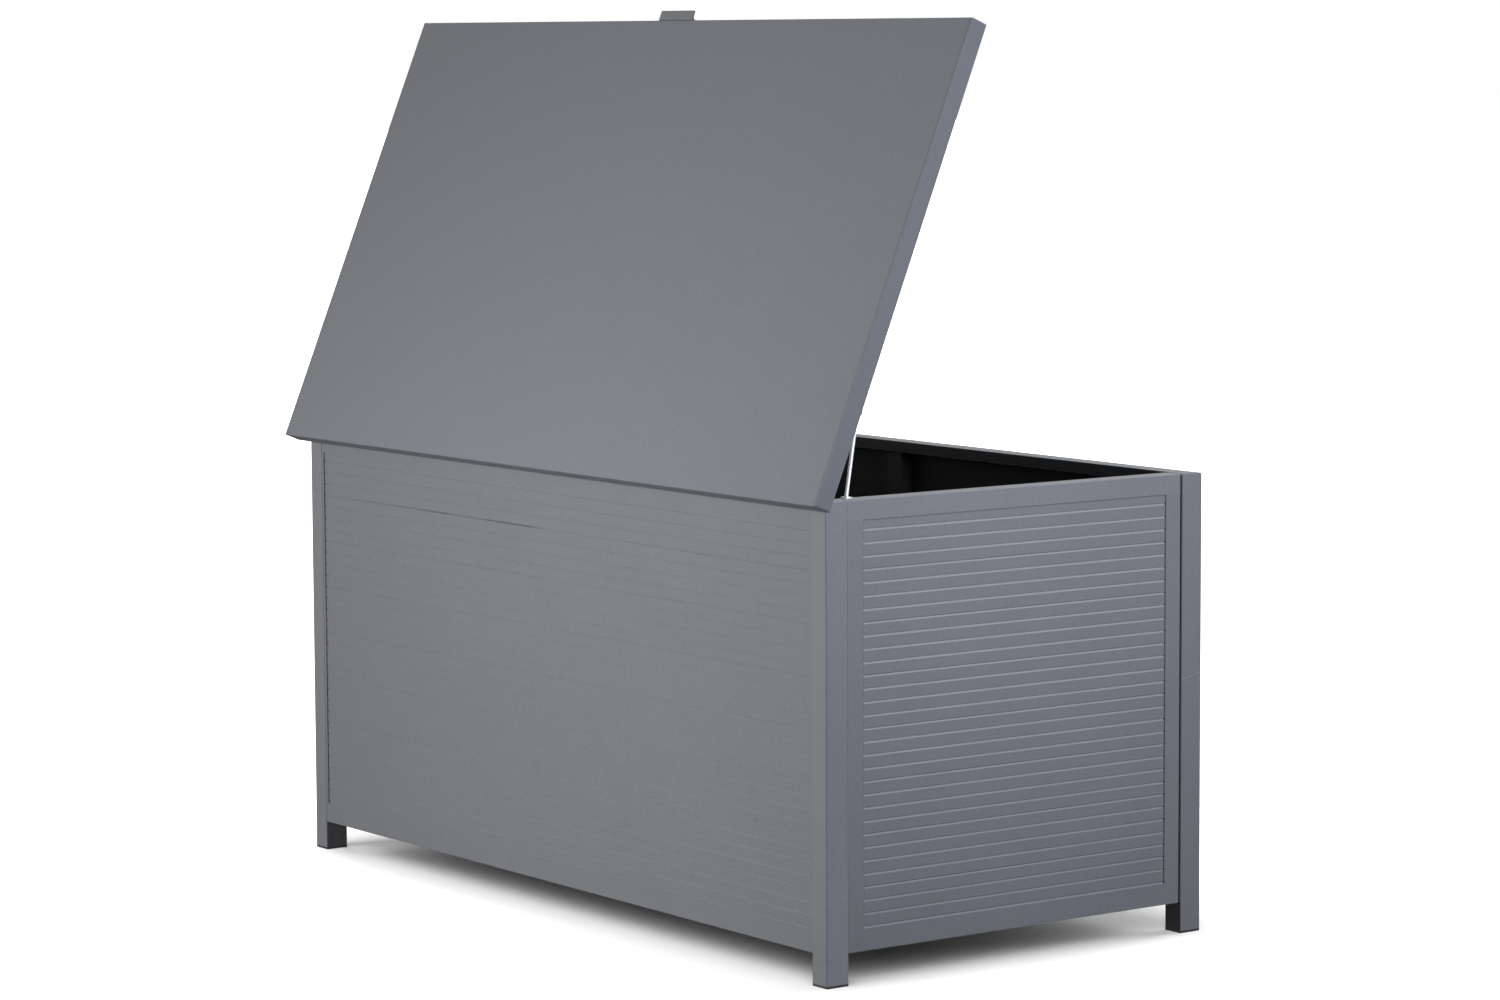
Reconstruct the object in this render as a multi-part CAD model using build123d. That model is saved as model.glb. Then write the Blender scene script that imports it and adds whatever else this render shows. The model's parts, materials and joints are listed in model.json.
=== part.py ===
from build123d import *
import math
import os

# Deck storage box of powder-coated aluminium, millimetres, +Z up.
# The origin is on the floor in the middle of the four feet.
# The front, with the pull tab, faces -Y, the hinges are at +Y, and left is -X.

# How far a cut runs past the face that it goes through
cut_over = 1.0

# Body
body_length = 1640.0
body_depth = 810.0
body_height = 800.0
post_length = 40.0
post_depth = 45.0
post_corner = 2.0
post_inner_corner = 1.0
post_wall = 2.0
cap_thickness = 3.5
cap_edge = 1.5
foot_edge = 1.0
foot_height = 4.0
plug_length = 14.0
plug_clearance = 0.2

# Panel frames: a face flange with a hollow box behind it
frame_set_back = 1.0
flange_thickness = 1.5
frame_depth = 40.0
box_wall = 1.8
rail_low = 54.5
bottom_box_height = 19.0
bottom_flange_height = 37.0
top_box_height = 20.0
top_flange_height = 33.0
top_edge_round = 1.5
stile_box_width = 20.0
stile_flange_width = 32.0
end_panel_gap = 4.0

# Planks: hollow extrusions with V grooves, stacked with tongues
plank_count = 8
plank_pitch = 87.5
plank_seam = 0.3
plank_thickness = 8.0
plank_wall = 1.2
groove_heights = (21.2, 43.3, 65.4)
groove_depth = 1.3
groove_top = 1.0
groove_core = 0.6
groove_foot = 3.2
joint_lip = 0.5
groove_web = 3.4
tongue_depths = (3.4, 5.6)
tongue_height = 3.0
tongue_clearance = 0.2
plank_end_clearance = 1.0

# Channels that hold the plank ends of the long panels, and the stiles in their middle
channel_width = 12.0
channel_wall = 2.0
channel_lip = 6.0
channel_back_clearance = 0.5
mid_stile_width = 40.0
mid_stile_depth = 24.0

# Floor
floor_thickness = 5.0
floor_length = 1556.0
floor_width = 776.0
floor_notch_clearance = 1.0
bearer_width = 30.0
bearer_spacing = 370.0
bearer_count = 5

# Bolts between the end panels and the posts
bolt_heights = (150.0, 430.0, 710.0)
bolt_radius = 3.0
bolt_hole_radius = 3.2
bolt_head_radius = 5.5
bolt_head_height = 3.5
bolt_reach = 12.0
insert_radius = 5.0
insert_length = 9.0
insert_bore = 3.05
spacer_radius = 7.0

# Lid, measured closed
lid_length = 1694.0
lid_depth = 846.0
lid_top = 833.0
lid_lip = 31.5
sheet_thickness = 1.5
lid_edge_round = 2.5
lid_open_angle = 67.5
lid_tube_width = 28.0
lid_tube_height = 27.0
lid_tube_wall = 1.6
lid_tube_end = 815.0
lid_rear_tube_face = 404.3
lid_front_tube_face = 403.0
lid_cross_spacing = 400.0
bumper_radius = 7.0
bumper_lift = 0.3
bumper_places = ((-700.0, -389.0), (0.0, -389.0), (700.0, -389.0), (-801.0, -150.0), (801.0, -150.0))

# Pull tab: a bent plate on the lid's front lip
tab_width = 102.0
tab_reach = 18.0
tab_thickness = 2.5
tab_flange = 24.0
tab_bend = 6.0
tab_corner = 2.0
rivet_spacing = 70.0
rivet_drop = 14.0
rivet_radius = 2.0
rivet_head_radius = 4.0
rivet_head_height = 1.6
rivet_head_round = 1.3

# Hinges
hinge_y = 408.5
hinge_z = 798.2
hinge_places = (-600.0, 0.0, 600.0)
hinge_width = 72.0
knuckle_radius = 4.0
knuckle_gap = 0.4
pin_radius = 2.0
pin_bore = 2.05
leaf_thickness = 2.0
leaf_height = 28.0
leaf_corner = 4.0
leaf_relief = 2.0
lid_leaf_clearance = 1.0
lid_leaf_start = 0.5
hinge_screw_spacing = 22.0
body_screw_y = 389.0
lid_screw_z = 818.0
screw_radius = 2.0
screw_head_radius = 3.8
screw_head_height = 1.6
screw_length = 8.0

# Gas struts: pivots as (y, z), measured with the lid closed
strut_x = 768.0
strut_body_pivot = (326.0, 786.0)
strut_lid_pivot = (-16.5, 812.0)
socket_radius = 6.0
socket_width = 9.0
socket_neck_radius = 4.6
socket_floor = 2.0
stud_radius = 3.0
stud_bore = 3.05
stud_tip_gap = 0.5
open_pivot_gap = 0.4
rod_radius = 3.0
rod_bore = 3.05
rod_start = 14.0
rod_shown = 150.0
rod_inside = 85.0
piston_radius = 7.2
piston_length = 8.0
cylinder_radius = 9.0
cylinder_bore = 7.6
cylinder_end_wall = 3.0
cylinder_edge = 1.0
guide_length = 12.0
cylinder_neck = 22.0
bracket_thickness = 2.0
bracket_foot_length = 13.0
bracket_foot_width = 12.0
bracket_foot_offset = 11.0
bracket_ear_edge = 8.0
bracket_corner = 4.0
bracket_drop = 24.0
lid_bracket_size = (44.0, 20.0)

# Derived planes and heights
half_length = body_length / 2
half_depth = body_depth / 2
post_x = half_length - post_length / 2
post_y = half_depth - post_depth / 2
face_front = -frame_set_back
face_back = -(frame_set_back + flange_thickness)
frame_inner = -frame_depth
box_low = rail_low + bottom_box_height
box_high = body_height - top_box_height
flange_low = rail_low + bottom_flange_height
flange_high = body_height - top_flange_height
long_span = half_length - post_length
end_span = half_depth - post_depth
bolt_w = (face_back + frame_inner) / 2
lid_tube_low = lid_top - sheet_thickness - lid_tube_height


def block(first, second, third):
    """A box between low and high limits along X, Y and Z."""
    spans = (first, second, third)
    sizes = [high - low for low, high in spans]
    middle = [(low + high) / 2 for low, high in spans]
    return Pos(*middle) * Box(*sizes)


def tube(spans, along, wall):
    """An open-ended rectangular tube; along is the index of its long axis."""
    inner = []
    for index, (low, high) in enumerate(spans):
        inset = -cut_over if index == along else wall
        inner.append((low + inset, high - inset))
    return block(*spans) - block(*inner)


def bar(start, direction, length, radius):
    """A round bar from a point along a direction."""
    plane = Plane(origin=start, z_dir=direction)
    return plane.location * Cylinder(radius, length, align=(Align.CENTER, Align.CENTER, Align.MIN))


def panel_plane(normal, distance):
    """The outer plane of a panel: local x along it, y up, z outwards."""
    up = Vector(0, 0, 1)
    out = Vector(*normal)
    return Plane(origin=out * distance, x_dir=up.cross(out), z_dir=out)


def open_lid(shape):
    """Turns a piece of the closed lid to the open pose."""
    return shape.rotate(Axis((0, hinge_y, hinge_z), (1, 0, 0)), -lid_open_angle)


def group(pieces):
    """Separate solids that share one node."""
    return Compound([solid for piece in pieces for solid in piece.solids()])


rear_plane = panel_plane((0, 1, 0), half_depth)
front_plane = panel_plane((0, -1, 0), half_depth)
left_plane = panel_plane((-1, 0, 0), half_length)
right_plane = panel_plane((1, 0, 0), half_length)
nodes = {}


# Posts with their top caps and foot caps

def post_outline(inset=0.0):
    corner = max(post_corner - inset, post_inner_corner)
    return RectangleRounded(post_length - 2 * inset, post_depth - 2 * inset, corner)


def post(sign_x, sign_y):
    height = body_height - cap_thickness - foot_height
    shell = extrude(post_outline() - post_outline(post_wall), height)
    shell = Pos(sign_x * post_x, sign_y * post_y, foot_height) * shell
    bolt_x = sign_x * (half_length + bolt_w)
    for height_z in bolt_heights:
        start = (bolt_x, sign_y * (end_span - cut_over), height_z)
        shell -= bar(start, (0, sign_y, 0), post_wall + 2 * cut_over, bolt_hole_radius)
    return shell


def cap(thickness, edge):
    """A flat cap with a plug below it, its plate standing on z = 0."""
    plate = extrude(post_outline(), thickness)
    plate = fillet(plate.faces().sort_by(Axis.Z)[-1].edges(), edge)
    plug = extrude(post_outline(post_wall + plug_clearance), -plug_length)
    return plate + plug


for side_x, sign_x in (("left", -1), ("right", 1)):
    for side_y, sign_y in (("front", -1), ("rear", 1)):
        nodes[f"post_{side_y}_{side_x}"] = post(sign_x, sign_y)

post_places = [(sign_x * post_x, sign_y * post_y) for sign_x in (-1, 1) for sign_y in (-1, 1)]
nodes["post_caps"] = group(
    Pos(*place, body_height - cap_thickness) * cap(cap_thickness, cap_edge) for place in post_places
)
nodes["foot_caps"] = group(
    Pos(*place, foot_height) * Rot(180, 0, 0) * cap(foot_height, foot_edge) for place in post_places
)


# Panel rails and stiles

def rail(u_span, box_span, flange_span):
    """A face flange with a hollow box behind it, running along a panel."""
    section = Plane(origin=(u_span[0], 0, face_front), x_dir=(0, 0, -1), z_dir=(1, 0, 0))
    flange = Pos(flange_thickness / 2, sum(flange_span) / 2)
    flange *= Rectangle(flange_thickness, flange_span[1] - flange_span[0])
    box_depth = face_back - frame_inner
    box_height = box_span[1] - box_span[0]
    box_middle = Pos(flange_thickness + box_depth / 2, sum(box_span) / 2)
    outline = flange + box_middle * Rectangle(box_depth, box_height)
    outline -= box_middle * Rectangle(box_depth - 2 * box_wall, box_height - 2 * box_wall)
    solid = extrude(section * outline, u_span[1] - u_span[0])
    if flange_span[1] < body_height:
        return solid
    top_edges = solid.edges().filter_by(Axis.X).group_by(Axis.Y)[-1]
    return fillet(top_edges, top_edge_round)


def stile(box_edge, inward):
    """An end panel's upright; box_edge is its outer side and inward points to the planks."""
    box_span = sorted((box_edge, box_edge + inward * stile_box_width))
    flange_span = sorted((box_edge, box_edge + inward * stile_flange_width))
    upright = tube((box_span, (box_low, box_high), (frame_inner, face_back)), 1, box_wall)
    upright += block(flange_span, (flange_low, flange_high), (face_front, face_back)[::-1])
    for height in bolt_heights:
        start = (box_edge - inward * cut_over, height, bolt_w)
        upright -= bar(start, (inward, 0, 0), stile_box_width + 2 * cut_over, bolt_hole_radius)
    return upright


# Planks

def plank_outline(height):
    """Section of a plank: x is the depth behind its face, y the height."""
    points = [(joint_lip, 0), (0, joint_lip)]
    for groove in groove_heights:
        points += [(0, groove - groove_foot), (groove_depth, groove + groove_core), (0, groove + groove_top)]
    points += [(0, height - groove_foot), (groove_depth, height)]
    points += [(tongue_depths[0], height), (tongue_depths[0], height + tongue_height)]
    points += [(tongue_depths[1], height + tongue_height), (tongue_depths[1], height)]
    points += [(plank_thickness, height), (plank_thickness, 0)]
    recess_low = tongue_depths[0] - tongue_clearance
    recess_high = tongue_depths[1] + tongue_clearance
    recess_top = tongue_height + tongue_clearance
    points += [(recess_high, 0), (recess_high, recess_top), (recess_low, recess_top), (recess_low, 0)]
    outline = make_face(Polyline(*points, close=True))
    webs = (recess_top + plank_wall - groove_web, *groove_heights, height)
    chamber_depth = plank_thickness - 2 * plank_wall
    for low, high in zip(webs, webs[1:]):
        chamber = Rectangle(chamber_depth, high - low - 2 * groove_web)
        outline -= Pos(plank_thickness / 2, (low + high) / 2) * chamber
    return outline


def planks(u_span):
    """A stack of planks standing on the bottom rail's box."""
    outline = plank_outline(plank_pitch - plank_seam)
    stack = []
    for index in range(plank_count):
        start = (u_span[0], box_low + index * plank_pitch, face_back)
        section = Plane(origin=start, x_dir=(0, 0, -1), z_dir=(1, 0, 0))
        stack.append(extrude(section * outline, u_span[1] - u_span[0]))
    return group(stack)


# Long panels

def plank_channel(side):
    """A channel on a post's inner side that holds the plank ends."""
    outer = side * long_span
    back = face_back - plank_thickness - channel_back_clearance
    heights = (box_low, box_high)
    web = block(sorted((outer, outer - side * channel_wall)), heights, (back - channel_wall, face_back))
    rear_lip = block(sorted((outer, outer - side * channel_width)), heights, (back - channel_wall, back))
    lip_span = sorted((outer, outer - side * channel_lip))
    front_lip = block(lip_span, (flange_low, flange_high), (face_back, face_front))
    return web + rear_lip + front_lip


def mid_stile():
    front = face_back - plank_thickness - channel_back_clearance
    width = (-mid_stile_width / 2, mid_stile_width / 2)
    depth = (front - mid_stile_depth, front)
    return tube((width, (box_low, box_high), depth), 1, box_wall)


long_u = (-long_span, long_span)
plank_end = long_span - channel_wall - plank_end_clearance
for name, plane in (("rear", rear_plane), ("front", front_plane)):
    place = plane.location
    nodes[f"{name}_top_rail"] = place * rail(long_u, (box_high, body_height), (flange_high, body_height))
    nodes[f"{name}_bottom_rail"] = place * rail(long_u, (rail_low, box_low), (rail_low, flange_low))
    nodes[f"{name}_planks"] = place * planks((-plank_end, plank_end))
    nodes[f"{name}_plank_channels"] = place * group([plank_channel(-1), plank_channel(1)])
    nodes[f"{name}_mid_stile"] = place * mid_stile()

# End panels: tight against the rear post, a gap to the front post

for name, plane, front_sign in (("left", left_plane, 1), ("right", right_plane, -1)):
    place = plane.location
    front_edge = front_sign * (end_span - end_panel_gap)
    rear_edge = -front_sign * end_span
    end_u = tuple(sorted((front_edge, rear_edge)))
    nodes[f"{name}_top_rail"] = place * rail(end_u, (box_high, body_height), (flange_high, body_height))
    nodes[f"{name}_bottom_rail"] = place * rail(end_u, (rail_low, box_low), (rail_low, flange_low))
    nodes[f"{name}_front_stile"] = place * stile(front_edge, -front_sign)
    nodes[f"{name}_rear_stile"] = place * stile(rear_edge, front_sign)
    plank_inset = stile_box_width + plank_end_clearance
    nodes[f"{name}_planks"] = place * planks((end_u[0] + plank_inset, end_u[1] - plank_inset))


# Bolts that hold the end panels between the posts

def panel_bolt(gap, sign_y):
    """A button-head bolt along Y, its head's seat at y = 0 for the positive side."""
    head = bar((0, 0, 0), (0, -sign_y, 0), bolt_head_height, bolt_head_radius)
    shank = bar((0, 0, 0), (0, sign_y, 0), stile_box_width + gap + post_wall + bolt_reach, bolt_radius)
    return head + shank


def thread_insert(sign_y):
    sleeve = bar((0, 0, 0), (0, sign_y, 0), insert_length, insert_radius)
    start = (0, -sign_y * cut_over, 0)
    return sleeve - bar(start, (0, sign_y, 0), insert_length + 2 * cut_over, insert_bore)


def gap_spacer(sign_y):
    ring = bar((0, 0, 0), (0, sign_y, 0), end_panel_gap, spacer_radius)
    start = (0, -sign_y * cut_over, 0)
    return ring - bar(start, (0, sign_y, 0), end_panel_gap + 2 * cut_over, bolt_hole_radius)


bolts = []
inserts = []
spacers = []
for sign_x in (-1, 1):
    bolt_x = sign_x * (half_length + bolt_w)
    for sign_y, gap in ((-1, end_panel_gap), (1, 0.0)):
        seat_y = sign_y * (end_span - gap - stile_box_width)
        for height_z in bolt_heights:
            bolts.append(Pos(bolt_x, seat_y, height_z) * panel_bolt(gap, sign_y))
            inserts.append(Pos(bolt_x, sign_y * (end_span + post_wall), height_z) * thread_insert(sign_y))
            if gap:
                spacers.append(Pos(bolt_x, sign_y * (end_span - gap), height_z) * gap_spacer(sign_y))
nodes["panel_bolts"] = group(bolts)
nodes["bolt_inserts"] = group(inserts)
nodes["gap_spacers"] = group(spacers)

# Floor on its bearers

floor = block(
    (-floor_length / 2, floor_length / 2),
    (-floor_width / 2, floor_width / 2),
    (box_low, box_low + floor_thickness),
)
notch_x = mid_stile_width / 2 + floor_notch_clearance
stile_back = face_back - plank_thickness - channel_back_clearance - mid_stile_depth
notch_y = half_depth + stile_back - floor_notch_clearance
for sign_y in (-1, 1):
    notch_span = sorted((sign_y * notch_y, sign_y * half_depth))
    floor -= block((-notch_x, notch_x), notch_span, (rail_low, body_height))
nodes["floor_sheet"] = floor

bearers = []
bearer_y = (frame_depth - half_depth, half_depth - frame_depth)
for index in range(bearer_count):
    middle_x = (index - (bearer_count - 1) / 2) * bearer_spacing
    bearer_x = (middle_x - bearer_width / 2, middle_x + bearer_width / 2)
    bearers.append(tube((bearer_x, bearer_y, (rail_low, box_low)), 1, box_wall))
nodes["floor_bearers"] = group(bearers)


# Lid tray: one folded sheet

def lid_tray():
    outer = block(
        (-lid_length / 2, lid_length / 2),
        (-lid_depth / 2, lid_depth / 2),
        (lid_top - lid_lip, lid_top),
    )
    upper_edges = outer.edges().filter_by(Axis.Z) + outer.faces().sort_by(Axis.Z)[-1].edges()
    outer = fillet(upper_edges, lid_edge_round)
    inner = block(
        (-lid_length / 2 + sheet_thickness, lid_length / 2 - sheet_thickness),
        (-lid_depth / 2 + sheet_thickness, lid_depth / 2 - sheet_thickness),
        (lid_top - lid_lip - cut_over, lid_top - sheet_thickness),
    )
    inner_edges = inner.edges().filter_by(Axis.Z) + inner.faces().sort_by(Axis.Z)[-1].edges()
    inner = fillet(inner_edges, lid_edge_round - sheet_thickness)
    tray = outer - inner
    for sign_x in (-1, 1):
        start = (sign_x * rivet_spacing / 2, -lid_depth / 2 - cut_over, lid_top - rivet_drop)
        tray -= bar(start, (0, 1, 0), sheet_thickness + 2 * cut_over, rivet_radius)
    return tray


def lid_tube(x_span, y_span, along):
    return tube((x_span, y_span, (lid_tube_low, lid_tube_low + lid_tube_height)), along, lid_tube_wall)


rear_tube_y = (lid_rear_tube_face - lid_tube_width, lid_rear_tube_face)
front_tube_y = (-lid_front_tube_face, -lid_front_tube_face + lid_tube_width)
side_tube_y = (front_tube_y[1], rear_tube_y[0])
long_tube_x = (-lid_tube_end, lid_tube_end)
rear_tube = lid_tube(long_tube_x, rear_tube_y, 0)
for middle_x in hinge_places:
    for offset in (-hinge_screw_spacing, 0.0, hinge_screw_spacing):
        start = (middle_x + offset, lid_rear_tube_face + cut_over, lid_screw_z)
        rear_tube -= bar(start, (0, -1, 0), lid_tube_wall + 2 * cut_over, screw_radius)
side_tube_x = (lid_tube_end - lid_tube_width, lid_tube_end)
nodes["lid_tray"] = open_lid(lid_tray())
nodes["lid_rear_tube"] = open_lid(rear_tube)
nodes["lid_front_tube"] = open_lid(lid_tube(long_tube_x, front_tube_y, 0))
nodes["lid_right_tube"] = open_lid(lid_tube(side_tube_x, side_tube_y, 1))
nodes["lid_left_tube"] = open_lid(lid_tube((-side_tube_x[1], -side_tube_x[0]), side_tube_y, 1))
cross_tube = lid_tube((-lid_tube_width / 2, lid_tube_width / 2), side_tube_y, 1)
nodes["lid_cross_tubes"] = open_lid(
    group(Pos(x, 0, 0) * cross_tube for x in (-lid_cross_spacing, 0, lid_cross_spacing))
)

bumper_height = lid_tube_low - body_height - bumper_lift
nodes["lid_bumpers"] = open_lid(
    group(bar((x, y, lid_tube_low), (0, 0, -1), bumper_height, bumper_radius) for x, y in bumper_places)
)


# Pull tab on the front lip

def pull_tab():
    lip_y = -lid_depth / 2
    tip_y = lip_y - tab_reach
    side = Plane(origin=(-tab_width / 2, 0, 0), x_dir=(0, 1, 0), z_dir=(1, 0, 0))
    inside = (lip_y - tab_thickness, lid_top - tab_thickness)
    outline = Polyline(
        (tip_y, lid_top),
        (lip_y, lid_top),
        (lip_y, lid_top - tab_flange),
        (inside[0], lid_top - tab_flange),
        inside,
        (tip_y, inside[1]),
        close=True,
    )
    face = make_face(outline)
    bend = face.vertices().sort_by_distance(Vector(*inside))[0]
    face = fillet(bend, tab_bend)
    tab = extrude(side * face, tab_width)
    corners = tab.edges().filter_by(Axis.Z).group_by(Axis.Y)[0]
    tab = fillet(corners, tab_corner)
    for sign_x in (-1, 1):
        start = (sign_x * rivet_spacing / 2, lip_y + cut_over, lid_top - rivet_drop)
        tab -= bar(start, (0, -1, 0), tab_thickness + 2 * cut_over, rivet_radius)
    return tab


def tab_rivet(x):
    seat_y = -lid_depth / 2 - tab_thickness
    start = (x, seat_y, lid_top - rivet_drop)
    head = bar(start, (0, -1, 0), rivet_head_height, rivet_head_radius)
    head = fillet(head.faces().sort_by(Axis.Y)[0].edges(), rivet_head_round)
    shank = bar(start, (0, 1, 0), tab_thickness + sheet_thickness, rivet_radius)
    tail_start = (x, seat_y + tab_thickness + sheet_thickness, lid_top - rivet_drop)
    tail = bar(tail_start, (0, 1, 0), rivet_head_height, rivet_head_radius)
    return head + shank + tail


nodes["pull_tab"] = open_lid(pull_tab())
nodes["tab_rivets"] = open_lid(group([tab_rivet(-rivet_spacing / 2), tab_rivet(rivet_spacing / 2)]))


# Hinges: two body knuckles outside, one lid knuckle between them

knuckle_length = hinge_width / 3
middle_knuckle = (-knuckle_length / 2 + knuckle_gap / 2, knuckle_length / 2 - knuckle_gap / 2)


def knuckle(x_span):
    return bar((x_span[0], hinge_y, hinge_z), (1, 0, 0), x_span[1] - x_span[0], knuckle_radius)


def leaf_holes(leaf, middle, direction):
    """Cuts the screw holes, each through a middle point of the leaf, and the pin's bore."""
    back = [-leaf_thickness * value for value in direction]
    for offset in (-hinge_screw_spacing, 0.0, hinge_screw_spacing):
        start = (offset, middle[0] + back[1], middle[1] + back[2])
        leaf -= bar(start, direction, 2 * leaf_thickness, screw_radius)
    return leaf - bar((-hinge_width, hinge_y, hinge_z), (1, 0, 0), 2 * hinge_width, pin_bore)


def body_leaf():
    """Lies on the rear rail's top."""
    leaf_y = (hinge_y - knuckle_radius - leaf_height, hinge_y)
    leaf_z = (body_height, body_height + leaf_thickness)
    plate = block((-hinge_width / 2, hinge_width / 2), leaf_y, leaf_z)
    plate = fillet(plate.edges().filter_by(Axis.Z).group_by(Axis.Y)[0], leaf_corner)
    relief = (-knuckle_length / 2 - knuckle_gap / 2, knuckle_length / 2 + knuckle_gap / 2)
    relief_y = (hinge_y - knuckle_radius - leaf_relief, hinge_y + cut_over)
    plate -= block(relief, relief_y, (leaf_z[0] - cut_over, leaf_z[1] + cut_over))
    for sign_x in (-1, 1):
        plate += knuckle(sorted((sign_x * relief[1], sign_x * hinge_width / 2)))
    return leaf_holes(plate, (body_screw_y, sum(leaf_z) / 2), (0, 0, -1))


def lid_leaf():
    """Stands on the lid's rear tube."""
    leaf_y = (lid_rear_tube_face, lid_rear_tube_face + leaf_thickness)
    leaf_low = hinge_z + knuckle_radius + lid_leaf_clearance
    leaf_top = hinge_z + knuckle_radius + leaf_height
    plate = block((-hinge_width / 2, hinge_width / 2), leaf_y, (leaf_low, leaf_top))
    plate = fillet(plate.edges().filter_by(Axis.Y).group_by(Axis.Z)[-1], leaf_corner)
    plate += block(middle_knuckle, leaf_y, (hinge_z + lid_leaf_start, leaf_low))
    plate += knuckle(middle_knuckle)
    return leaf_holes(plate, (sum(leaf_y) / 2, lid_screw_z), (0, -1, 0))


def screw(start, direction):
    """A pan-head screw whose head seats at start and whose shank goes along direction."""
    back = tuple(-value for value in direction)
    head = bar(start, back, screw_head_height, screw_head_radius)
    return head + bar(start, direction, screw_length, screw_radius)


body_leaf_face = body_height + leaf_thickness
lid_leaf_face = lid_rear_tube_face + leaf_thickness
nodes["hinge_body_leaves"] = group(Pos(x, 0, 0) * body_leaf() for x in hinge_places)
nodes["hinge_lid_leaves"] = open_lid(group(Pos(x, 0, 0) * lid_leaf() for x in hinge_places))
nodes["hinge_pins"] = group(
    bar((x - hinge_width / 2, hinge_y, hinge_z), (1, 0, 0), hinge_width, pin_radius) for x in hinge_places
)
screw_places = [
    x + offset for x in hinge_places for offset in (-hinge_screw_spacing, 0.0, hinge_screw_spacing)
]
nodes["hinge_body_screws"] = group(screw((x, body_screw_y, body_leaf_face), (0, 0, -1)) for x in screw_places)
nodes["hinge_lid_screws"] = open_lid(
    group(screw((x, lid_leaf_face, lid_screw_z), (0, -1, 0)) for x in screw_places)
)
for x in screw_places:
    start = (x, body_screw_y, body_height + cut_over)
    nodes["rear_top_rail"] -= bar(start, (0, 0, -1), box_wall + 2 * cut_over, screw_radius)


# Gas struts

def turned(point, angle):
    """A (y, z) point turned about the hinge line, opening positive."""
    across = point[0] - hinge_y
    above = point[1] - hinge_z
    cosine = math.cos(math.radians(angle))
    sine = math.sin(math.radians(angle))
    return (hinge_y + across * cosine + above * sine, hinge_z - across * sine + above * cosine)


def strut_line(angle):
    """Length in millimetres and slope in degrees of the strut at an opening angle."""
    upper = turned(strut_lid_pivot, angle)
    run = strut_body_pivot[0] - upper[0]
    rise = upper[1] - strut_body_pivot[1]
    return math.hypot(run, rise), math.degrees(math.atan2(rise, run))


open_length, open_slope = strut_line(lid_open_angle)
closed_length, closed_slope = strut_line(0.0)


def stand_strut(piece, sign_x):
    """Places a strut piece built upright from its lower pivot at the origin."""
    return Pos(sign_x * strut_x, *strut_body_pivot) * Rot(90 - open_slope, 0, 0) * piece


def strut_socket(sign_x, bored):
    """A socket on a cross axis at the origin with a neck above it."""
    inner = -sign_x * socket_width / 2
    socket = bar((-inner, 0, 0), (-sign_x, 0, 0), socket_width, socket_radius)
    socket += bar((0, 0, 0), (0, 0, 1), rod_start, socket_neck_radius)
    if bored:
        depth = socket_width - socket_floor
        bore_start = (-inner + sign_x * cut_over, 0, 0)
        socket -= bar(bore_start, (-sign_x, 0, 0), depth + cut_over, stud_bore)
    return socket


def strut_rod():
    shaft = bar((0, 0, rod_start), (0, 0, 1), rod_shown + rod_inside - rod_start, rod_radius)
    return shaft + bar((0, 0, rod_shown + rod_inside), (0, 0, 1), piston_length, piston_radius)


def strut_cylinder():
    top = open_length - cylinder_neck
    shell = bar((0, 0, rod_shown), (0, 0, 1), top - rod_shown, cylinder_radius)
    shell = fillet(shell.edges().filter_by(GeomType.CIRCLE), cylinder_edge)
    bore_start = rod_shown + guide_length
    shell -= bar((0, 0, bore_start), (0, 0, 1), top - cylinder_end_wall - bore_start, cylinder_bore)
    guide_start = (0, 0, rod_shown - cut_over)
    return shell - bar(guide_start, (0, 0, 1), guide_length + 2 * cut_over, rod_bore)


def body_bracket(sign_x):
    """An angle on the end rail: a foot on its top, an ear down its inner face, and a stud."""
    rail_inner = half_length - frame_depth
    pivot_y, pivot_z = strut_body_pivot
    foot_y = pivot_y + bracket_foot_offset
    foot_span = (foot_y - bracket_foot_width / 2, foot_y + bracket_foot_width / 2)
    ear_inner = rail_inner - bracket_thickness
    foot_x = (ear_inner, rail_inner + bracket_foot_length)
    foot = block(foot_x, foot_span, (body_height, body_height + bracket_thickness))
    foot = fillet(foot.edges().filter_by(Axis.Z).group_by(Axis.X)[-1], bracket_thickness)
    screw_start = (rail_inner + bracket_foot_length / 2, foot_y, body_height - cut_over)
    foot -= bar(screw_start, (0, 0, 1), bracket_thickness + 2 * cut_over, screw_radius)
    ear_low = body_height - bracket_drop
    ear = block((ear_inner, rail_inner), (pivot_y - bracket_ear_edge, foot_span[1]), (ear_low, body_height))
    ear = fillet(ear.edges().filter_by(Axis.X).group_by(Axis.Z)[0], bracket_corner)
    stud_end = strut_x - socket_width / 2 + socket_floor + stud_tip_gap
    stud = bar((ear_inner, pivot_y, pivot_z), (-1, 0, 0), ear_inner - stud_end, stud_radius)
    bracket = foot + ear + stud
    return bracket if sign_x > 0 else mirror(bracket, about=Plane.YZ)


def lid_bracket(sign_x):
    """A plate on the lid's end tube with a stud that stops just short of the upper socket."""
    tube_inner = lid_tube_end - lid_tube_width
    pivot_y, pivot_z = strut_lid_pivot
    half_y = lid_bracket_size[0] / 2
    plate_z = (lid_tube_low, lid_tube_low + lid_bracket_size[1])
    plate_x = (tube_inner - bracket_thickness, tube_inner)
    plate = block(plate_x, (pivot_y - half_y, pivot_y + half_y), plate_z)
    plate = fillet(plate.edges().filter_by(Axis.X), bracket_corner)
    stud_end = strut_x + socket_width / 2 + open_pivot_gap
    stud = bar((plate_x[0], pivot_y, pivot_z), (-1, 0, 0), plate_x[0] - stud_end, stud_radius)
    bracket = plate + stud
    return bracket if sign_x > 0 else mirror(bracket, about=Plane.YZ)


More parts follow.
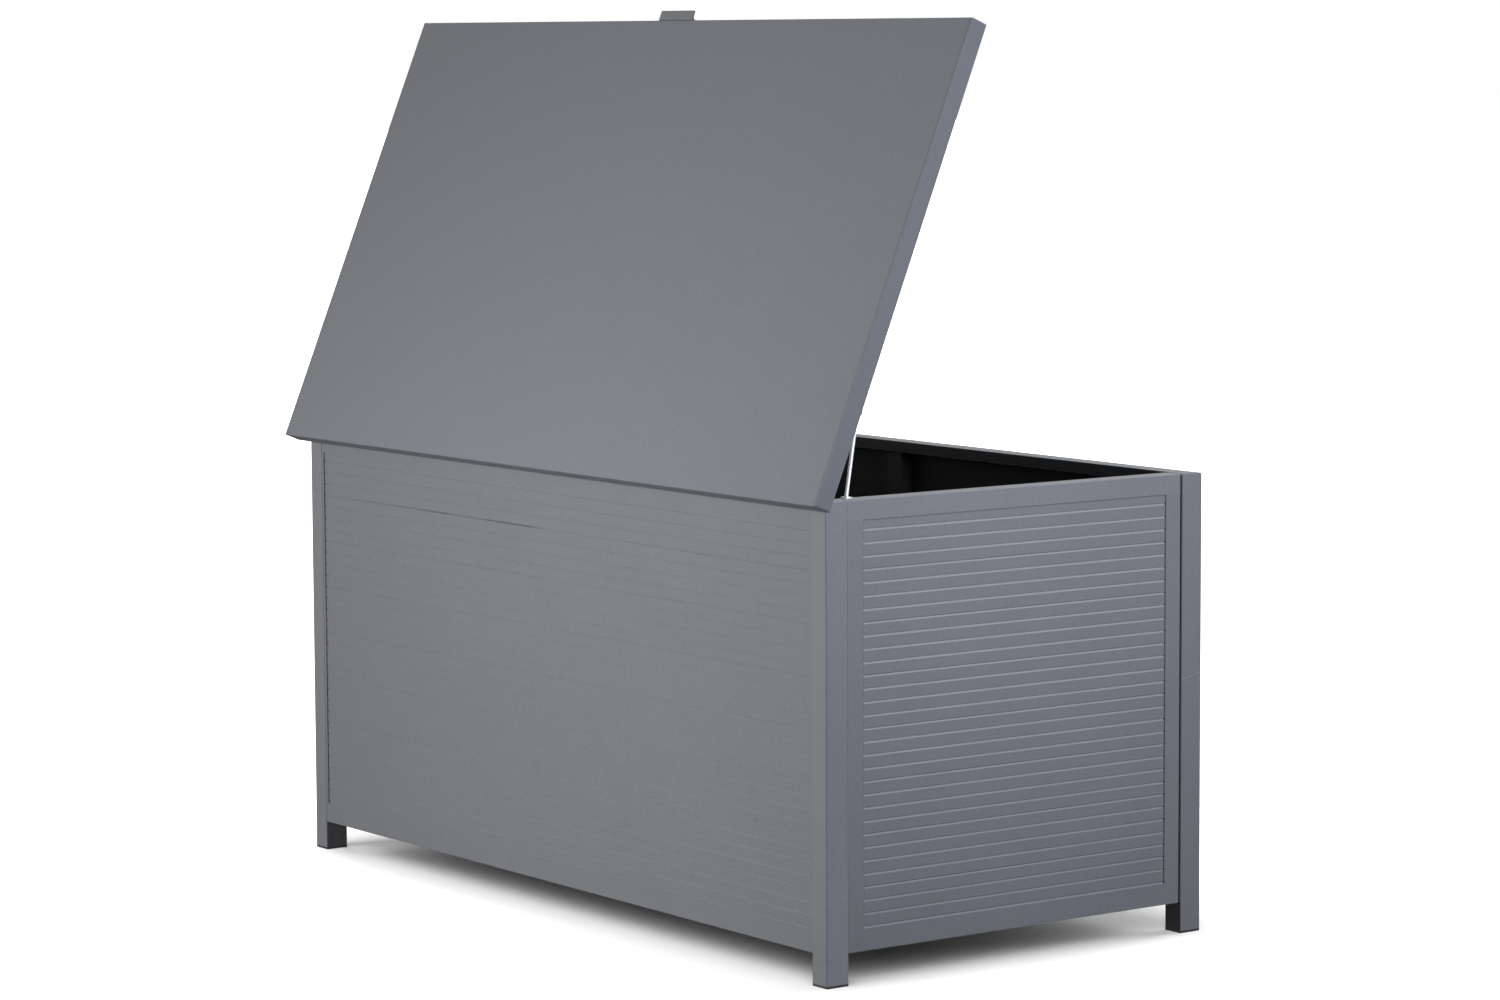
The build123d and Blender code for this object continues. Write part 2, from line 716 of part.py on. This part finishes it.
bracket_screws = []
for side, sign_x in (("left", -1), ("right", 1)):
    upper_socket = Pos(0, 0, open_length) * Rot(180, 0, 0) * strut_socket(sign_x, False)
    neck_start = (0, 0, open_length - cylinder_neck)
    upper_neck = bar(neck_start, (0, 0, 1), cylinder_neck - rod_start, socket_neck_radius)
    nodes[f"{side}_strut_lower_socket"] = stand_strut(strut_socket(sign_x, True), sign_x)
    nodes[f"{side}_strut_rod"] = stand_strut(strut_rod(), sign_x)
    nodes[f"{side}_strut_cylinder"] = stand_strut(strut_cylinder(), sign_x)
    nodes[f"{side}_strut_upper_socket"] = stand_strut(upper_socket + upper_neck, sign_x)
    nodes[f"{side}_strut_body_bracket"] = body_bracket(sign_x)
    nodes[f"{side}_strut_lid_bracket"] = open_lid(lid_bracket(sign_x))
    screw_x = sign_x * (half_length - frame_depth + bracket_foot_length / 2)
    screw_y = strut_body_pivot[0] + bracket_foot_offset
    bracket_screws.append(screw((screw_x, screw_y, body_height + bracket_thickness), (0, 0, -1)))
    hole_start = (screw_x, screw_y, body_height + cut_over)
    nodes[f"{side}_top_rail"] -= bar(hole_start, (0, 0, -1), box_wall + 2 * cut_over, screw_radius)
nodes["strut_bracket_screws"] = group(bracket_screws)

os.makedirs("parts", exist_ok=True)
for name, shape in nodes.items():
    export_step(shape, f"parts/{name}.step")

travel = open_length - closed_length
print("nodes", len(nodes))
print("strut open", round(open_length, 3), "slope", round(open_slope, 4), "travel", round(travel, 4))
swing = open_slope - closed_slope
print("strut swing", round(swing, 4), "ratio", swing / lid_open_angle)
print("slide per radian, metres", travel / 1000 / math.radians(lid_open_angle))
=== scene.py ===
import json
import math

import bpy
from mathutils import Matrix, Vector


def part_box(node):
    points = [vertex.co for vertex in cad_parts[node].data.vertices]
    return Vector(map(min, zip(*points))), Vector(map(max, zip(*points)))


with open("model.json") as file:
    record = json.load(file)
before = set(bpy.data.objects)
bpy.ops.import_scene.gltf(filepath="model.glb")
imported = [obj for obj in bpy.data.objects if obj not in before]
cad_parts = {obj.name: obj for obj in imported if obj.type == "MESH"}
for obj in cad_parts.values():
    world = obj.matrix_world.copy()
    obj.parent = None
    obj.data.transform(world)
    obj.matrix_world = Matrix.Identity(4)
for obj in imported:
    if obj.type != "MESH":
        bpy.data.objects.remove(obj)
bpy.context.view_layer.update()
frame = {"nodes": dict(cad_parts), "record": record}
nodes = frame["nodes"]
scene = bpy.context.scene
body_high = Vector((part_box("post_front_right")[1].x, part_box("post_rear_right")[1].y))
leg_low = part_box("post_rear_right")[0]
wall_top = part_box("left_top_rail")[1].z
panel_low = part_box("left_bottom_rail")[0].z

# Camera at the photograph's view, in metres and degrees
FOCAL_PX = 4478.43
IMAGE_WIDTH = 1500
AZIMUTH = 234.1341
ELEVATION = 5.8863
ROLL = -0.2667
CAMERA_PLACE = (-6.57988, 4.71966, 1.54674)
SENSOR_MM = 36.0
VIEW_END = 200.0

# Most values of a noise lie in this span
NOISE_SPAN = (0.3, 0.7)

# Width of the soft edge of a mask, in metres
EDGE_SOFT = 0.0005

# Powder coat: colours, layers of noise as scale, detail and roughness, and the swing of their tones
COAT = (0.2, 0.206, 0.22)
LID_COAT = (0.196, 0.205, 0.227)
# A lighter copy of the coat for the rear posts and the end top rails: painted light
PAINTED_LIGHT_COAT = (0.213, 0.219, 0.233)
COAT_GRAIN = (520.0, 3.0, 0.6)
GRAIN_SWING = 0.035
COAT_SPECKLE = (170.0, 3.0, 0.6)
SPECKLE_SWING = 0.05
COAT_MOTTLE = (9.0, 4.0, 0.55)
MOTTLE_SWING = 0.02
COAT_ROUGH = 0.5
COAT_ROUGH_SWING = 0.04
COAT_GLOSS = 0.25
COAT_BUMP_SCALE = 1500.0
COAT_BUMP = {"strength": 0.25, "distance": 0.0003}

# Painted shade on the inner side of walls and legs: how far behind the outer face it starts, and its
# tones
INNER_START = 0.0095
INNER_TONE = 0.09
LEG_TONES = {"X": 0.5, "Y": 0.13}

# Plank grooves, told by the normal's rise: tones of the lower flank at two heights, a painted
# highlight on the end panels and a faint painted shade on the long panels, and of the roof, painted
# light that lifts its shade
FLANK_HEIGHTS = (0.12, 0.5)
END_FLANK = (1.15, 1.42)
END_ROOF = 1.2
LONG_FLANK = (0.965, 0.965)
LONG_ROOF = 1.8
FLANK_RISE = (0.15, 0.3)
ROOF_RISE = (-0.6, -0.3)

# Painted shade in the slots where the planks run under the frame, patchy along the channels
CHANNEL_LIP = 0.006
GROOVE_DEEP = 0.0004
SLOT_STRIP = 0.0016
STRIP_TONE = 0.7
SLOT_TONE = 0.26
SLOT_SHADE_NOISE = (60.0, 3.0, 0.6)
SLOT_SHADE_PATCHES = 0.8
SLOT_SHADE_PATCHES_SWING = 0.2

# Posts: how far behind the end face the painted shade in the gap starts, a painted shade line down
# the corners, and painted floor light on the foot
GAP_START = 0.004
CORNER_TILT = (0.25, 0.35)
CORNER_TONE = 0.7
FOOT_RISE = 0.35
FOOT_TONE = 1.21
SIDE_TILT = (0.6, 0.9)

# Lid: painted shade on the end lips, and on a strip of its face beside their folds
LIP_TILT = (0.6, 0.95)
LIP_TONE = 0.77
FACE_TILT = (0.6, 0.8)
FOLD_TONE = 0.8
FOLD_STRIP = 0.007
FOLD_ROUND = 0.0025

# Painted shade in an open plank joint on the rear panel, in metres, strong in two places and faint
# between them
JOINT_SHADE_X = (0.05, 0.62)
JOINT_SHADE_FADE = 0.05
JOINT_SHADE_FAINT = 0.35
JOINT_SHADE_STRONG = ((0.05, 0.2), (0.34, 0.42))
JOINT_SHADE_STRONG_FADE = 0.03
JOINT_SHADE_HEIGHT = (0.6846, 0.6868)
JOINT_SHADE_EDGE = 0.0006
JOINT_SHADE_TONE = 0.35
JOINT_SHADE_STRETCH = (30.0, 1.0, 60.0)
JOINT_SHADE_NOISE = (1.0, 4.0, 0.6)
JOINT_SHADE_BREAKS = (0.35, 0.6, 0.45, 1.0)

# A light scratch across a front post
SCRATCH_HEIGHT = 0.4435
SCRATCH_SLOPE = -0.255
SCRATCH_HALF = 0.0005
SCRATCH_DEEP = 0.001
SCRATCH_TONE = 1.35

# Moulded and plated finishes
MOULDED_SWING = 0.15
MOULDED_ROUGH_SWING = 0.06
MOULDED_BUMP = {"strength": 0.2, "distance": 0.0002}
PLATED_NOISE = (1.0, 3.0, 0.6)
PLATED_SWING = 0.06
PLATED_ROUGH_SHARE = 0.2

# Lights: name, kind, place, aim, size in metres or angle in degrees, strength, colour
NEUTRAL = (1.0, 1.0, 1.0)
COOL = (0.95, 1.0, 1.1)
LIGHTS = [
    ("rear_near", "AREA", (-0.3, 2.2, 0.85), (-0.2, 0.4, 0.8), 1.2, 17.5, NEUTRAL),
    ("rear_low", "AREA", (0.6, 3.6, 0.9), (0.0, 0.4, 0.85), 2.0, 52.0, NEUTRAL),
    ("rear_high", "AREA", (0.8, 4.5, 3.2), (0.0, 0.4, 0.8), 3.0, 14.0, NEUTRAL),
    ("end_top", "SUN", (-4.5, -3.5, 8.2), (0.0, 0.0, 0.0), 25.0, 0.9, COOL),
    ("end_high", "AREA", (-2.2, 0.1, 2.2), (-0.82, 0.0, 0.6), 1.0, 15.5, COOL),
    ("end_near", "AREA", (-2.3, -0.1, 0.95), (-0.82, 0.0, 0.7), 0.9, 12.5, COOL),
    ("front_fill", "AREA", (0.3, -4.0, 1.3), (0.0, -0.4, 0.6), 2.5, 90.0, NEUTRAL),
    ("right_fill", "AREA", (3.8, -0.8, 1.3), (0.8, 0.0, 0.6), 2.0, 60.0, NEUTRAL),
]

# The floor has lights of its own from all sides, and glows to white away from the box
FLOOR_LIGHTS = [
    ("floor_camera", "SUN", (-7.3, 5.2, 5.8), (0.0, 0.0, 0.0), 44.0, 2.5, NEUTRAL),
    ("floor_rear", "SUN", (0.0, 9.0, 5.4), (0.0, 0.0, 0.0), 40.0, 1.75, NEUTRAL),
    ("floor_front", "SUN", (0.0, -9.0, 2.2), (0.0, 0.0, 0.0), 40.0, 4.8, NEUTRAL),
    ("floor_right", "SUN", (9.0, 0.0, 2.0), (0.0, 0.0, 0.0), 40.0, 4.0, NEUTRAL),
]
FLOOR_COLOUR = (0.92, 0.92, 0.92)
FLOOR_NOISE_SCALE = 3.0
FLOOR_SWING = 0.01
FLOOR_ROUGH = 0.9
FLOOR_FADE = (0.0, 0.45)
FLOOR_REACH = 60.0
WHITE = (1.0, 1.0, 1.0, 1.0)

# The white backdrop is darker far below the horizon: heights from and to, strengths from and to
WORLD_FALL = (-0.35, -0.08, 0.15, 1.0)


class Tree:
    """A material's node tree with short calls to add and link nodes."""

    def __init__(self, name):
        self.material = bpy.data.materials.new(name)
        self.material.use_nodes = True
        self.nodes = self.material.node_tree.nodes
        self.links = self.material.node_tree.links
        self.nodes.clear()
        self.shader = self.add("ShaderNodeBsdfPrincipled")
        output = self.add("ShaderNodeOutputMaterial")
        self.link(self.shader.outputs["BSDF"], output.inputs["Surface"])
        coordinates = self.add("ShaderNodeTexCoord")
        self.place = coordinates.outputs["Object"]
        self.axes = self.split(self.place)
        self.normal = self.split(coordinates.outputs["Normal"])

    def add(self, kind, **values):
        node = self.nodes.new(kind)
        for key, value in values.items():
            setattr(node, key, value)
        return node

    def link(self, source, target):
        self.links.new(source, target)

    def split(self, vector):
        node = self.add("ShaderNodeSeparateXYZ")
        self.link(vector, node.inputs["Vector"])
        return node.outputs

    def stretched(self, scales):
        """The place on the part, scaled along each axis."""
        node = self.add("ShaderNodeMapping")
        node.inputs["Scale"].default_value = scales
        self.link(self.place, node.inputs["Vector"])
        return node.outputs["Vector"]

    def noise(self, scale, detail=2.0, rough=0.5, place=None):
        node = self.add("ShaderNodeTexNoise")
        node.inputs["Scale"].default_value = scale
        node.inputs["Detail"].default_value = detail
        node.inputs["Roughness"].default_value = rough
        self.link(place or self.place, node.inputs["Vector"])
        return node.outputs["Fac"]

    def remap(self, value, low, high, new_low, new_high):
        node = self.add("ShaderNodeMapRange")
        node.inputs["From Min"].default_value = low
        node.inputs["From Max"].default_value = high
        node.inputs["To Min"].default_value = new_low
        node.inputs["To Max"].default_value = new_high
        self.link(value, node.inputs["Value"])
        return node.outputs["Result"]

    def vary(self, noise, middle, swing):
        """A value that a noise moves to both sides of its middle."""
        return self.remap(noise, *NOISE_SPAN, middle - swing, middle + swing)

    def math(self, operation, first, second):
        node = self.add("ShaderNodeMath", operation=operation)
        for index, value in enumerate((first, second)):
            if isinstance(value, (int, float)):
                node.inputs[index].default_value = value
            else:
                self.link(value, node.inputs[index])
        return node.outputs["Value"]

    def absolute(self, value):
        return self.math("ABSOLUTE", value, 0.0)

    def times(self, *values):
        product = values[0]
        for value in values[1:]:
            product = self.math("MULTIPLY", product, value)
        return product

    def above(self, value, limit, soft=EDGE_SOFT):
        """One past the limit, zero before it."""
        return self.remap(value, limit - soft, limit, 0.0, 1.0)

    def below(self, value, limit, soft=EDGE_SOFT):
        """One up to the limit, zero past it."""
        return self.remap(value, limit, limit + soft, 1.0, 0.0)

    def between(self, value, limits, soft=EDGE_SOFT):
        return self.times(self.above(value, limits[0], soft), self.below(value, limits[1], soft))

    def facing(self, axis, tilt):
        """One on faces that look along an axis, to either side."""
        return self.remap(self.absolute(self.normal[axis]), *tilt, 0.0, 1.0)

    def shaded(self, mask, tone):
        """A factor of one that goes to the tone where the mask is one."""
        return self.remap(mask, 0.0, 1.0, 1.0, tone)

    def tint(self, colour, factor):
        """The colour times a varying factor, on the shader's base colour."""
        node = self.add("ShaderNodeVectorMath", operation="SCALE")
        node.inputs[0].default_value = colour
        self.link(factor, node.inputs["Scale"])
        self.link(node.outputs["Vector"], self.shader.inputs["Base Color"])

    def roughen(self, noise, rough, swing):
        self.link(self.vary(noise, rough, swing), self.shader.inputs["Roughness"])

    def bump(self, height, strength, distance):
        node = self.add("ShaderNodeBump")
        node.inputs["Strength"].default_value = strength
        node.inputs["Distance"].default_value = distance
        self.link(height, node.inputs["Height"])
        self.link(node.outputs["Normal"], self.shader.inputs["Normal"])

    def fixed(self, **values):
        """Sets sockets of the shader by their names, with _ for a space."""
        for key, value in values.items():
            self.shader.inputs[key.replace("_", " ")].default_value = value


def powder_coat(name, colour, *shades):
    """A matt coat with a fine structure, faint mottling and a slow change of gloss."""
    tree = Tree(name)
    mottle = tree.noise(*COAT_MOTTLE)
    factor = tree.times(
        tree.vary(tree.noise(*COAT_GRAIN), 1.0, GRAIN_SWING),
        tree.vary(tree.noise(*COAT_SPECKLE), 1.0, SPECKLE_SWING),
        tree.vary(mottle, 1.0, MOTTLE_SWING),
        *(shade(tree) for shade in shades),
    )
    tree.tint(colour, factor)
    tree.roughen(mottle, COAT_ROUGH, COAT_ROUGH_SWING)
    tree.bump(tree.noise(COAT_BUMP_SCALE), **COAT_BUMP)
    tree.fixed(Specular_IOR_Level=COAT_GLOSS)
    return tree.material


def inner_shade(tree):
    """Painted shade on the inner side of the walls, below the rails' tops, and of the legs."""
    height = tree.axes["Z"]
    wall = tree.times(tree.below(height, wall_top - EDGE_SOFT), tree.above(height, panel_low))
    leg = tree.below(height, panel_low - EDGE_SOFT)
    legs = []
    for axis, outer, inner in (("X", body_high.x, leg_low.x), ("Y", body_high.y, leg_low.y)):
        place = tree.absolute(tree.axes[axis])
        wall = tree.times(wall, tree.below(place, outer - INNER_START))
        inner_face = tree.times(leg, tree.below(place, inner + EDGE_SOFT))
        legs.append(tree.shaded(inner_face, LEG_TONES[axis]))
    return tree.times(*legs, tree.shaded(wall, INNER_TONE))


def long_panel_shade(tree):
    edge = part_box("rear_top_rail")[1].x - CHANNEL_LIP
    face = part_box("rear_planks")[1].y
    return groove_shade(tree, "X", (-edge, edge), "Y", face, LONG_FLANK, LONG_ROOF)


def end_panel_shade(tree):
    edges = (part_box("left_front_stile")[1].y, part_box("left_rear_stile")[0].y)
    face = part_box("right_planks")[1].x
    return groove_shade(tree, "Y", edges, "X", face, END_FLANK, END_ROOF)


def groove_shade(tree, along, edges, across, face, flank_tones, roof_tone):
    """Painted light and shade on a groove's lower flank, painted light on its roof, and painted
    shade at the grooves' ends under the frame and in a strip beside it.
    """
    rise = tree.normal["Z"]
    tone = tree.remap(tree.axes["Z"], *FLANK_HEIGHTS, *(value - 1.0 for value in flank_tones))
    flank = tree.math("ADD", tree.times(tree.remap(rise, *FLANK_RISE, 0.0, 1.0), tone), 1.0)
    roof = tree.remap(rise, *ROOF_RISE, roof_tone, 1.0)
    low_strip = tree.below(tree.axes[along], edges[0] + SLOT_STRIP)
    high_strip = tree.above(tree.axes[along], edges[1] - SLOT_STRIP)
    strip = tree.math("MAXIMUM", low_strip, high_strip)
    deep = tree.below(tree.absolute(tree.axes[across]), face - GROOVE_DEEP)
    slot = tree.shaded(tree.times(strip, deep), SLOT_TONE)
    return tree.times(flank, roof, slot, tree.shaded(strip, STRIP_TONE))


def open_joint_shade(tree):
    """Painted shade in a broken line along one open plank joint of the rear panel."""
    broken = tree.remap(tree.noise(*JOINT_SHADE_NOISE, tree.stretched(JOINT_SHADE_STRETCH)), *JOINT_SHADE_BREAKS)
    places = [tree.between(tree.axes["X"], span, JOINT_SHADE_STRONG_FADE) for span in JOINT_SHADE_STRONG]
    strong = tree.math("MAXIMUM", *places)
    faint = tree.times(tree.between(tree.axes["X"], JOINT_SHADE_X, JOINT_SHADE_FADE), JOINT_SHADE_FAINT)
    run = tree.math("MAXIMUM", strong, faint)
    line = tree.between(tree.axes["Z"], JOINT_SHADE_HEIGHT, JOINT_SHADE_EDGE)
    outer_side = tree.above(tree.axes["Y"], 0.0)
    return tree.shaded(tree.times(run, broken, line, outer_side), JOINT_SHADE_TONE)


def slot_shade(tree):
    """Painted shade, patchy, on the sides of the channels, where a narrow slot is left beside the
    plank ends.
    """
    patchy = tree.vary(tree.noise(*SLOT_SHADE_NOISE), SLOT_SHADE_PATCHES, SLOT_SHADE_PATCHES_SWING)
    return tree.shaded(tree.times(tree.facing("X", SIDE_TILT), patchy), SLOT_TONE)


def gap_shade(tree):
    """Painted shade on the sides of the posts that face the end panels, from a little way in."""
    post_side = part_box("post_rear_left")[0].y
    inner = tree.below(tree.absolute(tree.axes["Y"]), post_side + EDGE_SOFT)
    deep = tree.below(tree.absolute(tree.axes["X"]), body_high.x - GAP_START, GAP_START / 2.0)
    beside_panel = tree.above(tree.axes["Z"], panel_low)
    return tree.shaded(tree.times(inner, deep, beside_panel), SLOT_TONE)


def corner_shade(tree):
    """A painted shade line down the rounded corners of the posts."""
    turned = (tree.facing(axis, CORNER_TILT) for axis in ("X", "Y"))
    return tree.shaded(tree.times(*turned), CORNER_TONE)


def foot_shade(tree):
    """Lighter low down on the end faces of the rear posts, where a pale floor lights them."""
    low = tree.remap(tree.axes["Z"], 0.0, FOOT_RISE, 1.0, 0.0)
    return tree.shaded(tree.times(tree.facing("X", SIDE_TILT), low), FOOT_TONE)


def scratch_shade(tree):
    """A thin light scratch across the end face of a front post."""
    path = tree.math("ADD", tree.axes["Z"], tree.times(tree.axes["Y"], -SCRATCH_SLOPE))
    middle = SCRATCH_HEIGHT - SCRATCH_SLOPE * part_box("post_front_left")[1].y
    line = tree.below(tree.absolute(tree.math("SUBTRACT", path, middle)), SCRATCH_HALF)
    end_face = tree.below(tree.axes["X"], -body_high.x + SCRATCH_DEEP)
    return tree.shaded(tree.times(line, end_face), SCRATCH_TONE)


def lip_shade(tree):
    """Painted shade, slightly darker, on the lid's folded end lips and beside their folds on its
    face.
    """
    lid_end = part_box("lid_tray")[1].x
    lips = tree.shaded(tree.facing("X", LIP_TILT), LIP_TONE)
    beside_folds = tree.above(tree.absolute(tree.axes["X"]), lid_end - FOLD_ROUND, FOLD_STRIP)
    face = tree.remap(tree.normal["Y"], *FACE_TILT, 0.0, 1.0)
    return tree.times(lips, tree.shaded(tree.times(beside_folds, face), FOLD_TONE))


def moulded(name, colour, rough, grain_scale):
    """Moulded plastic, rubber or paint with a fine grain."""
    tree = Tree(name)
    grain = tree.noise(grain_scale)
    tree.tint(colour, tree.vary(grain, 1.0, MOULDED_SWING))
    tree.roughen(grain, rough, MOULDED_ROUGH_SWING)
    tree.bump(grain, **MOULDED_BUMP)
    return tree.material


def plated(name, colour, rough, marks_scale, metal=1.0):
    """Plated or drawn metal with faint marks, longer along an axis of smaller scale."""
    tree = Tree(name)
    marks = tree.noise(*PLATED_NOISE, tree.stretched(marks_scale))
    tree.tint(colour, tree.vary(marks, 1.0, PLATED_SWING))
    tree.roughen(marks, rough, rough * PLATED_ROUGH_SHARE)
    tree.fixed(Metallic=metal)
    return tree.material


MATERIALS = {
    "grey_coat": powder_coat("grey_coat", COAT, inner_shade),
    "floor_board": moulded("floor_board", (0.06, 0.06, 0.062), 0.6, 300.0),
    "black_plastic": moulded("black_plastic", (0.012, 0.012, 0.013), 0.45, 900.0),
    "bumper_rubber": moulded("bumper_rubber", (0.015, 0.015, 0.015), 0.8, 700.0),
    "plain_steel": plated("plain_steel", (0.72, 0.72, 0.71), 0.28, (400.0, 400.0, 400.0)),
    # Bright steel is near white and hardly metallic: a painted reflection of the white surroundings
    "bright_steel": plated("bright_steel", (0.95, 0.95, 0.96), 0.35, (400.0, 400.0, 40.0), 0.2),
    "black_paint": moulded("black_paint", (0.02, 0.02, 0.021), 0.32, 500.0),
}

# Nodes whose coat has marks, mostly painted light and shade, or a colour of its own
POST_MARKS = (inner_shade, gap_shade, corner_shade)
MARKS = {
    "lid_tray": (lip_shade,),
    "post_front_left": (*POST_MARKS, scratch_shade),
    "post_front_right": POST_MARKS,
    "post_rear_left": (*POST_MARKS, foot_shade),
    "post_rear_right": (*POST_MARKS, foot_shade),
    "rear_planks": (inner_shade, long_panel_shade, open_joint_shade),
    "front_planks": (inner_shade, long_panel_shade),
    "left_planks": (inner_shade, end_panel_shade),
    "right_planks": (inner_shade, end_panel_shade),
    "rear_plank_channels": (inner_shade, slot_shade),
    "front_plank_channels": (inner_shade, slot_shade),
    "left_top_rail": (inner_shade,),
    "right_top_rail": (inner_shade,),
}
# Rear posts and end top rails take the lighter copy of the coat: painted light
PAINTED_LIGHT_PARTS = ("post_rear_left", "post_rear_right", "left_top_rail", "right_top_rail")
OWN_COLOUR = {"lid_tray": LID_COAT, **{name: PAINTED_LIGHT_COAT for name in PAINTED_LIGHT_PARTS}}
OWN_FINISH = {
    name: powder_coat(name + "_coat", OWN_COLOUR.get(name, COAT), *shades)
    for name, shades in MARKS.items()
}

slot_of = {part["node"]: part["material_slot"] for part in frame["record"]["subparts"]}
for name, piece in nodes.items():
    piece.data.materials.clear()
    piece.data.materials.append(OWN_FINISH.get(name) or MATERIALS[slot_of[name]])


def set_camera():
    azimuth, elevation, roll = (math.radians(value) for value in (AZIMUTH, ELEVATION, ROLL))
    back = Vector((
        math.sin(azimuth) * math.cos(elevation),
        -math.cos(azimuth) * math.cos(elevation),
        math.sin(elevation),
    ))
    level = (-back).cross(Vector((0.0, 0.0, 1.0))).normalized()
    rise = level.cross(-back)
    right = level * math.cos(roll) + rise * math.sin(roll)
    up = rise * math.cos(roll) - level * math.sin(roll)
    data = bpy.data.cameras.new("camera")
    data.sensor_fit = "HORIZONTAL"
    data.sensor_width = SENSOR_MM
    data.lens = SENSOR_MM * FOCAL_PX / IMAGE_WIDTH
    data.clip_end = VIEW_END
    camera = bpy.data.objects.new("camera", data)
    turn = Matrix((right, up, back)).transposed()
    camera.matrix_world = Matrix.Translation(CAMERA_PLACE) @ turn.to_4x4()
    scene.collection.objects.link(camera)
    scene.camera = camera


def add_light(name, kind, place, aim, size, strength, colour):
    data = bpy.data.lights.new(name, kind)
    data.energy = strength
    data.color = colour
    if kind == "SUN":
        data.angle = math.radians(size)
    else:
        data.shape = "DISK"
        data.size = size
    lamp = bpy.data.objects.new(name, data)
    lamp.location = place
    lamp.rotation_euler = (Vector(aim) - Vector(place)).to_track_quat("-Z", "Y").to_euler()
    lamp.visible_camera = False
    scene.collection.objects.link(lamp)
    return lamp


def set_world():
    """A white backdrop that the camera and glossy faces see, and that doesn't light matt ones."""
    world = bpy.data.worlds.new("backdrop")
    world.use_nodes = True
    backdrop = world.node_tree.nodes["Background"]
    backdrop.inputs["Color"].default_value = WHITE
    coordinates = world.node_tree.nodes.new("ShaderNodeTexCoord")
    height = world.node_tree.nodes.new("ShaderNodeSeparateXYZ")
    fall = world.node_tree.nodes.new("ShaderNodeMapRange")
    for socket, value in zip(("From Min", "From Max", "To Min", "To Max"), WORLD_FALL):
        fall.inputs[socket].default_value = value
    world.node_tree.links.new(coordinates.outputs["Generated"], height.inputs["Vector"])
    world.node_tree.links.new(height.outputs["Z"], fall.inputs["Value"])
    world.node_tree.links.new(fall.outputs["Result"], backdrop.inputs["Strength"])
    scene.world = world
    world.cycles_visibility.diffuse = False
    scene.view_settings.view_transform = "Standard"


def floor_finish():
    """A matt white that glows more and more away from the box's footprint."""
    tree = Tree("floor")
    tree.tint(FLOOR_COLOUR, tree.vary(tree.noise(FLOOR_NOISE_SCALE), 1.0, FLOOR_SWING))
    tree.fixed(Roughness=FLOOR_ROUGH, Specular_IOR_Level=0.0, Emission_Color=WHITE)
    squares = []
    for axis, limit in (("X", body_high.x), ("Y", body_high.y)):
        past = tree.math("SUBTRACT", tree.absolute(tree.axes[axis]), limit)
        past = tree.math("MAXIMUM", past, 0.0)
        squares.append(tree.times(past, past))
    distance = tree.math("SQRT", tree.math("ADD", *squares), 0.0)
    glow = tree.remap(distance, *FLOOR_FADE, 0.0, 1.0)
    tree.link(glow, tree.shader.inputs["Emission Strength"])
    return tree.material


def set_floor():
    mesh = bpy.data.meshes.new("floor")
    signs = ((-1, -1), (1, -1), (1, 1), (-1, 1))
    corners = [(x * FLOOR_REACH, y * FLOOR_REACH, 0.0) for x, y in signs]
    mesh.from_pydata(corners, [], [(0, 1, 2, 3)])
    mesh.materials.append(floor_finish())
    floor = bpy.data.objects.new("floor", mesh)
    floor.visible_diffuse = False
    floor.visible_glossy = False
    scene.collection.objects.link(floor)
    return floor


def light_all(floor):
    """The floor's own lights reach only the floor, the others everything else."""
    only_floor = bpy.data.collections.new("only_floor")
    only_floor.objects.link(floor)
    all_but_floor = bpy.data.collections.new("all_but_floor")
    all_but_floor.objects.link(floor)
    all_but_floor.collection_objects[0].light_linking.link_state = "EXCLUDE"
    for row in LIGHTS:
        add_light(*row).light_linking.receiver_collection = all_but_floor
    for row in FLOOR_LIGHTS:
        add_light(*row).light_linking.receiver_collection = only_floor


set_camera()
set_world()
light_all(set_floor())
